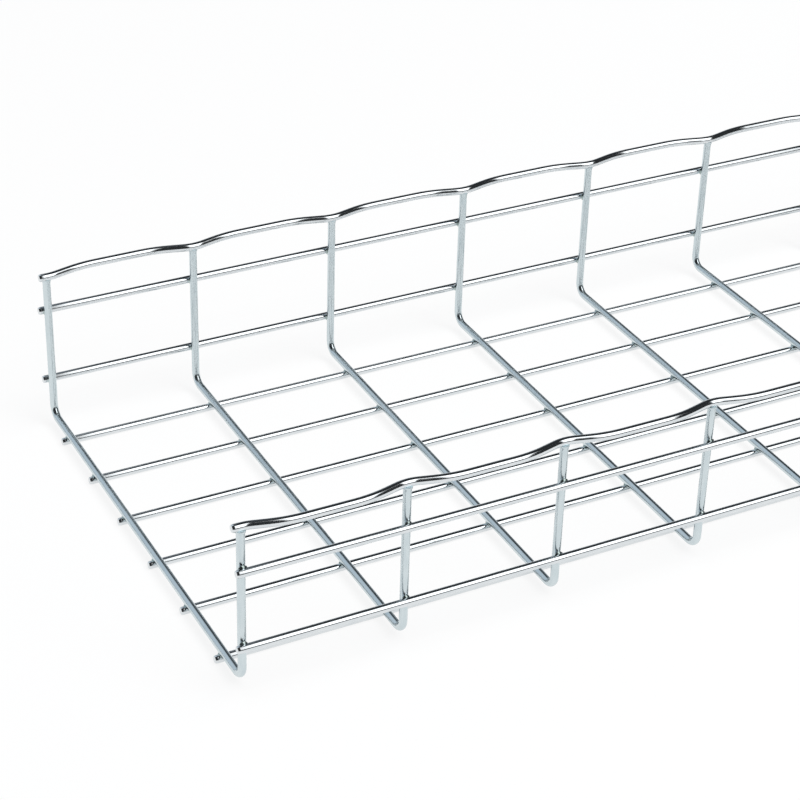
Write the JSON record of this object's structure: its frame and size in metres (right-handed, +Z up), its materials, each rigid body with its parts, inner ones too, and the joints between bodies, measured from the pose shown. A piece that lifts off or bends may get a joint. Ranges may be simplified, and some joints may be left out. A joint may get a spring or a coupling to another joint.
{
  "type": "wire mesh cable tray",
  "caption": "Straight wire mesh cable tray: round steel wires welded into a grid, bent to a flat floor with upright walls, and a wavy wire along each open edge.",
  "frame": {"origin": "middle of the footprint, on the level floor that the undersides of the floor wires rest on", "axes": "+X along the tray, towards the end with cross_wire_31; +Y across it, towards the left wall; +Z up, out of the open side"},
  "size_m": [3.01, 0.3198, 0.1118],
  "materials": {
    "cross_wire_zinc": "electro-zinc plated drawn wire, satin blue-grey",
    "long_wire_zinc": "electro-zinc plated drawn wire, bright"
  },
  "bodies": {
    "root": {"cross_wire_01": "cross_wire_zinc", "cross_wire_02": "cross_wire_zinc", "cross_wire_03": "cross_wire_zinc", "cross_wire_04": "cross_wire_zinc", "cross_wire_05": "cross_wire_zinc", "cross_wire_06": "cross_wire_zinc", "cross_wire_07": "cross_wire_zinc", "cross_wire_08": "cross_wire_zinc", "cross_wire_09": "cross_wire_zinc", "cross_wire_10": "cross_wire_zinc", "cross_wire_11": "cross_wire_zinc", "cross_wire_12": "cross_wire_zinc", "cross_wire_13": "cross_wire_zinc", "cross_wire_14": "cross_wire_zinc", "cross_wire_15": "cross_wire_zinc", "cross_wire_16": "cross_wire_zinc", "cross_wire_17": "cross_wire_zinc", "cross_wire_18": "cross_wire_zinc", "cross_wire_19": "cross_wire_zinc", "cross_wire_20": "cross_wire_zinc", "cross_wire_21": "cross_wire_zinc", "cross_wire_22": "cross_wire_zinc", "cross_wire_23": "cross_wire_zinc", "cross_wire_24": "cross_wire_zinc", "cross_wire_25": "cross_wire_zinc", "cross_wire_26": "cross_wire_zinc", "cross_wire_27": "cross_wire_zinc", "cross_wire_28": "cross_wire_zinc", "cross_wire_29": "cross_wire_zinc", "cross_wire_30": "cross_wire_zinc", "cross_wire_31": "cross_wire_zinc", "floor_wire_1": "long_wire_zinc", "floor_wire_2": "long_wire_zinc", "floor_wire_3": "long_wire_zinc", "floor_wire_4": "long_wire_zinc", "floor_wire_5": "long_wire_zinc", "floor_wire_6": "long_wire_zinc", "right_lower_side_wire": "long_wire_zinc", "right_upper_side_wire": "long_wire_zinc", "left_lower_side_wire": "long_wire_zinc", "left_upper_side_wire": "long_wire_zinc", "right_edge_wire": "long_wire_zinc", "left_edge_wire": "long_wire_zinc"}
  },
  "joints": []
}
